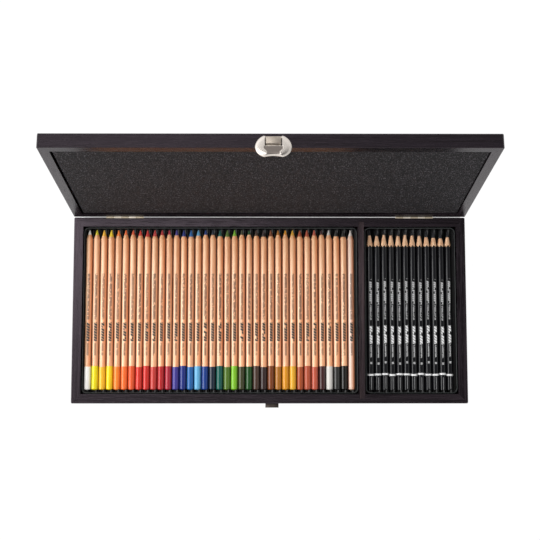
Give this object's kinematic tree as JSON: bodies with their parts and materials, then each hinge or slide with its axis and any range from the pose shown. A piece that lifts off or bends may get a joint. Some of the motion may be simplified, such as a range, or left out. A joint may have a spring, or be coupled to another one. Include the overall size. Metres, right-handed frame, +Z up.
{
  "type": "hinged pencil case",
  "caption": "Flat stained wooden case with a hinged padded lid and a snap clasp, holding round coloured and six-sided graphite pencils in two grooved trays.",
  "frame": {"origin": "middle of the case's flat underside", "axes": "+X along the long side to the right as seen by the user, +Y from the clasp to the hinges, +Z up"},
  "size_m": [0.427, 0.2534, 0.2337],
  "materials": {
    "stained_wood": "blackish brown stain under satin lacquer, grain just showing",
    "panel_wood": "thin plywood panel, same stain as the rails",
    "foam": "dark grey foam sheet with a fine pale speckle",
    "tray_plastic": "black glossy formed sheet",
    "hinge_brass": "pale brass plated steel",
    "nickel": "bright nickel plate",
    "catch_steel": "dark burnished steel",
    "screw_steel": "plated steel",
    "black_lacquer": "cedar under gloss black lacquer, bare sharpened cone, grey lead",
    "colour_white": "bare cedar barrel with a matching point and dipped end",
    "colour_lemon": "bare cedar barrel with a matching point and dipped end",
    "colour_light_yellow": "bare cedar barrel with a matching point and dipped end",
    "colour_yellow": "bare cedar barrel with a matching point and dipped end",
    "colour_orange": "bare cedar barrel with a matching point and dipped end",
    "colour_orange_red": "bare cedar barrel with a matching point and dipped end",
    "colour_vermilion": "bare cedar barrel with a matching point and dipped end",
    "colour_scarlet": "bare cedar barrel with a matching point and dipped end",
    "colour_red": "bare cedar barrel with a matching point and dipped end",
    "colour_dark_red": "bare cedar barrel with a matching point and dipped end",
    "colour_crimson": "bare cedar barrel with a matching point and dipped end",
    "colour_magenta": "bare cedar barrel with a matching point and dipped end",
    "colour_blue_violet": "bare cedar barrel with a matching point and dipped end",
    "colour_ultramarine": "bare cedar barrel with a matching point and dipped end",
    "colour_cobalt_blue": "bare cedar barrel with a matching point and dipped end",
    "colour_sky_blue": "bare cedar barrel with a matching point and dipped end",
    "colour_blue": "bare cedar barrel with a matching point and dipped end",
    "colour_indigo": "bare cedar barrel with a matching point and dipped end",
    "colour_teal": "bare cedar barrel with a matching point and dipped end",
    "colour_green": "bare cedar barrel with a matching point and dipped end",
    "colour_bright_green": "bare cedar barrel with a matching point and dipped end",
    "colour_olive": "bare cedar barrel with a matching point and dipped end",
    "colour_dark_green": "bare cedar barrel with a matching point and dipped end",
    "colour_dark_brown": "bare cedar barrel with a matching point and dipped end",
    "colour_sepia": "bare cedar barrel with a matching point and dipped end",
    "colour_brown": "bare cedar barrel with a matching point and dipped end",
    "colour_ochre": "bare cedar barrel with a matching point and dipped end",
    "colour_golden_yellow": "bare cedar barrel with a matching point and dipped end",
    "colour_gold_ochre": "bare cedar barrel with a matching point and dipped end",
    "colour_burnt_orange": "bare cedar barrel with a matching point and dipped end",
    "colour_red_brown": "bare cedar barrel with a matching point and dipped end",
    "colour_salmon": "bare cedar barrel with a matching point and dipped end",
    "colour_maroon": "bare cedar barrel with a matching point and dipped end",
    "colour_light_grey": "bare cedar barrel with a matching point and dipped end",
    "colour_dark_grey": "bare cedar barrel with a matching point and dipped end",
    "colour_black": "bare cedar barrel with a matching point and dipped end",
    "colour_blending": "pale bare barrel with a clear blending point"
  },
  "bodies": {
    "base": {"base_bottom_panel": "panel_wood", "base_front_rail": "stained_wood", "base_back_rail": "stained_wood", "base_left_rail": "stained_wood", "base_right_rail": "stained_wood", "divider": "stained_wood", "base_fasteners": "screw_steel", "clasp_catch": "catch_steel", "hinge_base_leaves": "hinge_brass", "hinge_pins": "hinge_brass"},
    "lid": {"lid_top_panel": "panel_wood", "lid_front_rail": "stained_wood", "lid_back_rail": "stained_wood", "lid_left_rail": "stained_wood", "lid_right_rail": "stained_wood", "lid_foam_pad": "foam", "lid_fasteners": "screw_steel", "clasp_plate": "nickel", "hinge_lid_leaves": "hinge_brass"},
    "clasp_flap": {"clasp_flap": "nickel"},
    "left_tray": {"left_tray": "tray_plastic"},
    "right_tray": {"right_tray": "tray_plastic"},
    "pencil_01_white": {"pencil_01_white": "colour_white"},
    "pencil_02_lemon": {"pencil_02_lemon": "colour_lemon"},
    "pencil_03_light_yellow": {"pencil_03_light_yellow": "colour_light_yellow"},
    "pencil_04_yellow": {"pencil_04_yellow": "colour_yellow"},
    "pencil_05_orange": {"pencil_05_orange": "colour_orange"},
    "pencil_06_orange_red": {"pencil_06_orange_red": "colour_orange_red"},
    "pencil_07_vermilion": {"pencil_07_vermilion": "colour_vermilion"},
    "pencil_08_scarlet": {"pencil_08_scarlet": "colour_scarlet"},
    "pencil_09_red": {"pencil_09_red": "colour_red"},
    "pencil_10_dark_red": {"pencil_10_dark_red": "colour_dark_red"},
    "pencil_11_crimson": {"pencil_11_crimson": "colour_crimson"},
    "pencil_12_magenta": {"pencil_12_magenta": "colour_magenta"},
    "pencil_13_blue_violet": {"pencil_13_blue_violet": "colour_blue_violet"},
    "pencil_14_ultramarine": {"pencil_14_ultramarine": "colour_ultramarine"},
    "pencil_15_cobalt_blue": {"pencil_15_cobalt_blue": "colour_cobalt_blue"},
    "pencil_16_sky_blue": {"pencil_16_sky_blue": "colour_sky_blue"},
    "pencil_17_blue": {"pencil_17_blue": "colour_blue"},
    "pencil_18_indigo": {"pencil_18_indigo": "colour_indigo"},
    "pencil_19_teal": {"pencil_19_teal": "colour_teal"},
    "pencil_20_green": {"pencil_20_green": "colour_green"},
    "pencil_21_bright_green": {"pencil_21_bright_green": "colour_bright_green"},
    "pencil_22_olive": {"pencil_22_olive": "colour_olive"},
    "pencil_23_dark_green": {"pencil_23_dark_green": "colour_dark_green"},
    "pencil_24_dark_brown": {"pencil_24_dark_brown": "colour_dark_brown"},
    "pencil_25_sepia": {"pencil_25_sepia": "colour_sepia"},
    "pencil_26_brown": {"pencil_26_brown": "colour_brown"},
    "pencil_27_ochre": {"pencil_27_ochre": "colour_ochre"},
    "pencil_28_golden_yellow": {"pencil_28_golden_yellow": "colour_golden_yellow"},
    "pencil_29_gold_ochre": {"pencil_29_gold_ochre": "colour_gold_ochre"},
    "pencil_30_burnt_orange": {"pencil_30_burnt_orange": "colour_burnt_orange"},
    "pencil_31_red_brown": {"pencil_31_red_brown": "colour_red_brown"},
    "pencil_32_salmon": {"pencil_32_salmon": "colour_salmon"},
    "pencil_33_maroon": {"pencil_33_maroon": "colour_maroon"},
    "pencil_34_light_grey": {"pencil_34_light_grey": "colour_light_grey"},
    "pencil_35_dark_grey": {"pencil_35_dark_grey": "colour_dark_grey"},
    "pencil_36_black": {"pencil_36_black": "colour_black"},
    "pencil_37_blending": {"pencil_37_blending": "colour_blending"},
    "graphite_pencils": {"graphite_pencils": "black_lacquer"}
  },
  "joints": [
    {"name": "clasp_flap_hinge", "type": "hinge", "parent": "lid", "child": "clasp_flap", "pos_m": [0.0025, 0.14313, 0.22582], "axis": [-1, 0, 0], "range_deg": [-5.5, 80]},
    {"name": "lid_hinge", "type": "hinge", "parent": "base", "child": "lid", "pos_m": [0, 0.10125, 0.02515], "axis": [-1, 0, 0], "range_deg": [-99.3, 0]},
    {"name": "lift_left_tray", "type": "slide", "parent": "base", "child": "left_tray", "axis": [0, 0, 1], "range_m": [0, 0.06]},
    {"name": "lift_right_tray", "type": "slide", "parent": "base", "child": "right_tray", "axis": [0, 0, 1], "range_m": [0, 0.06]},
    {"name": "graphite_pencils_lift", "type": "slide", "parent": "right_tray", "child": "graphite_pencils", "axis": [0, 0, 1], "range_m": [0, 0.04]},
    {"name": "pencil_01_white_lift", "type": "slide", "parent": "left_tray", "child": "pencil_01_white", "axis": [0, 0, 1], "range_m": [0, 0.04]},
    {"name": "pencil_02_lemon_lift", "type": "slide", "parent": "left_tray", "child": "pencil_02_lemon", "axis": [0, 0, 1], "range_m": [0, 0.04]},
    {"name": "pencil_03_light_yellow_lift", "type": "slide", "parent": "left_tray", "child": "pencil_03_light_yellow", "axis": [0, 0, 1], "range_m": [0, 0.04]},
    {"name": "pencil_04_yellow_lift", "type": "slide", "parent": "left_tray", "child": "pencil_04_yellow", "axis": [0, 0, 1], "range_m": [0, 0.04]},
    {"name": "pencil_05_orange_lift", "type": "slide", "parent": "left_tray", "child": "pencil_05_orange", "axis": [0, 0, 1], "range_m": [0, 0.04]},
    {"name": "pencil_06_orange_red_lift", "type": "slide", "parent": "left_tray", "child": "pencil_06_orange_red", "axis": [0, 0, 1], "range_m": [0, 0.04]},
    {"name": "pencil_07_vermilion_lift", "type": "slide", "parent": "left_tray", "child": "pencil_07_vermilion", "axis": [0, 0, 1], "range_m": [0, 0.04]},
    {"name": "pencil_08_scarlet_lift", "type": "slide", "parent": "left_tray", "child": "pencil_08_scarlet", "axis": [0, 0, 1], "range_m": [0, 0.04]},
    {"name": "pencil_09_red_lift", "type": "slide", "parent": "left_tray", "child": "pencil_09_red", "axis": [0, 0, 1], "range_m": [0, 0.04]},
    {"name": "pencil_10_dark_red_lift", "type": "slide", "parent": "left_tray", "child": "pencil_10_dark_red", "axis": [0, 0, 1], "range_m": [0, 0.04]},
    {"name": "pencil_11_crimson_lift", "type": "slide", "parent": "left_tray", "child": "pencil_11_crimson", "axis": [0, 0, 1], "range_m": [0, 0.04]},
    {"name": "pencil_12_magenta_lift", "type": "slide", "parent": "left_tray", "child": "pencil_12_magenta", "axis": [0, 0, 1], "range_m": [0, 0.04]},
    {"name": "pencil_13_blue_violet_lift", "type": "slide", "parent": "left_tray", "child": "pencil_13_blue_violet", "axis": [0, 0, 1], "range_m": [0, 0.04]},
    {"name": "pencil_14_ultramarine_lift", "type": "slide", "parent": "left_tray", "child": "pencil_14_ultramarine", "axis": [0, 0, 1], "range_m": [0, 0.04]},
    {"name": "pencil_15_cobalt_blue_lift", "type": "slide", "parent": "left_tray", "child": "pencil_15_cobalt_blue", "axis": [0, 0, 1], "range_m": [0, 0.04]},
    {"name": "pencil_16_sky_blue_lift", "type": "slide", "parent": "left_tray", "child": "pencil_16_sky_blue", "axis": [0, 0, 1], "range_m": [0, 0.04]},
    {"name": "pencil_17_blue_lift", "type": "slide", "parent": "left_tray", "child": "pencil_17_blue", "axis": [0, 0, 1], "range_m": [0, 0.04]},
    {"name": "pencil_18_indigo_lift", "type": "slide", "parent": "left_tray", "child": "pencil_18_indigo", "axis": [0, 0, 1], "range_m": [0, 0.04]},
    {"name": "pencil_19_teal_lift", "type": "slide", "parent": "left_tray", "child": "pencil_19_teal", "axis": [0, 0, 1], "range_m": [0, 0.04]},
    {"name": "pencil_20_green_lift", "type": "slide", "parent": "left_tray", "child": "pencil_20_green", "axis": [0, 0, 1], "range_m": [0, 0.04]},
    {"name": "pencil_21_bright_green_lift", "type": "slide", "parent": "left_tray", "child": "pencil_21_bright_green", "axis": [0, 0, 1], "range_m": [0, 0.04]},
    {"name": "pencil_22_olive_lift", "type": "slide", "parent": "left_tray", "child": "pencil_22_olive", "axis": [0, 0, 1], "range_m": [0, 0.04]},
    {"name": "pencil_23_dark_green_lift", "type": "slide", "parent": "left_tray", "child": "pencil_23_dark_green", "axis": [0, 0, 1], "range_m": [0, 0.04]},
    {"name": "pencil_24_dark_brown_lift", "type": "slide", "parent": "left_tray", "child": "pencil_24_dark_brown", "axis": [0, 0, 1], "range_m": [0, 0.04]},
    {"name": "pencil_25_sepia_lift", "type": "slide", "parent": "left_tray", "child": "pencil_25_sepia", "axis": [0, 0, 1], "range_m": [0, 0.04]},
    {"name": "pencil_26_brown_lift", "type": "slide", "parent": "left_tray", "child": "pencil_26_brown", "axis": [0, 0, 1], "range_m": [0, 0.04]},
    {"name": "pencil_27_ochre_lift", "type": "slide", "parent": "left_tray", "child": "pencil_27_ochre", "axis": [0, 0, 1], "range_m": [0, 0.04]},
    {"name": "pencil_28_golden_yellow_lift", "type": "slide", "parent": "left_tray", "child": "pencil_28_golden_yellow", "axis": [0, 0, 1], "range_m": [0, 0.04]},
    {"name": "pencil_29_gold_ochre_lift", "type": "slide", "parent": "left_tray", "child": "pencil_29_gold_ochre", "axis": [0, 0, 1], "range_m": [0, 0.04]},
    {"name": "pencil_30_burnt_orange_lift", "type": "slide", "parent": "left_tray", "child": "pencil_30_burnt_orange", "axis": [0, 0, 1], "range_m": [0, 0.04]},
    {"name": "pencil_31_red_brown_lift", "type": "slide", "parent": "left_tray", "child": "pencil_31_red_brown", "axis": [0, 0, 1], "range_m": [0, 0.04]},
    {"name": "pencil_32_salmon_lift", "type": "slide", "parent": "left_tray", "child": "pencil_32_salmon", "axis": [0, 0, 1], "range_m": [0, 0.04]},
    {"name": "pencil_33_maroon_lift", "type": "slide", "parent": "left_tray", "child": "pencil_33_maroon", "axis": [0, 0, 1], "range_m": [0, 0.04]},
    {"name": "pencil_34_light_grey_lift", "type": "slide", "parent": "left_tray", "child": "pencil_34_light_grey", "axis": [0, 0, 1], "range_m": [0, 0.04]},
    {"name": "pencil_35_dark_grey_lift", "type": "slide", "parent": "left_tray", "child": "pencil_35_dark_grey", "axis": [0, 0, 1], "range_m": [0, 0.04]},
    {"name": "pencil_36_black_lift", "type": "slide", "parent": "left_tray", "child": "pencil_36_black", "axis": [0, 0, 1], "range_m": [0, 0.04]},
    {"name": "pencil_37_blending_lift", "type": "slide", "parent": "left_tray", "child": "pencil_37_blending", "axis": [0, 0, 1], "range_m": [0, 0.04]}
  ]
}
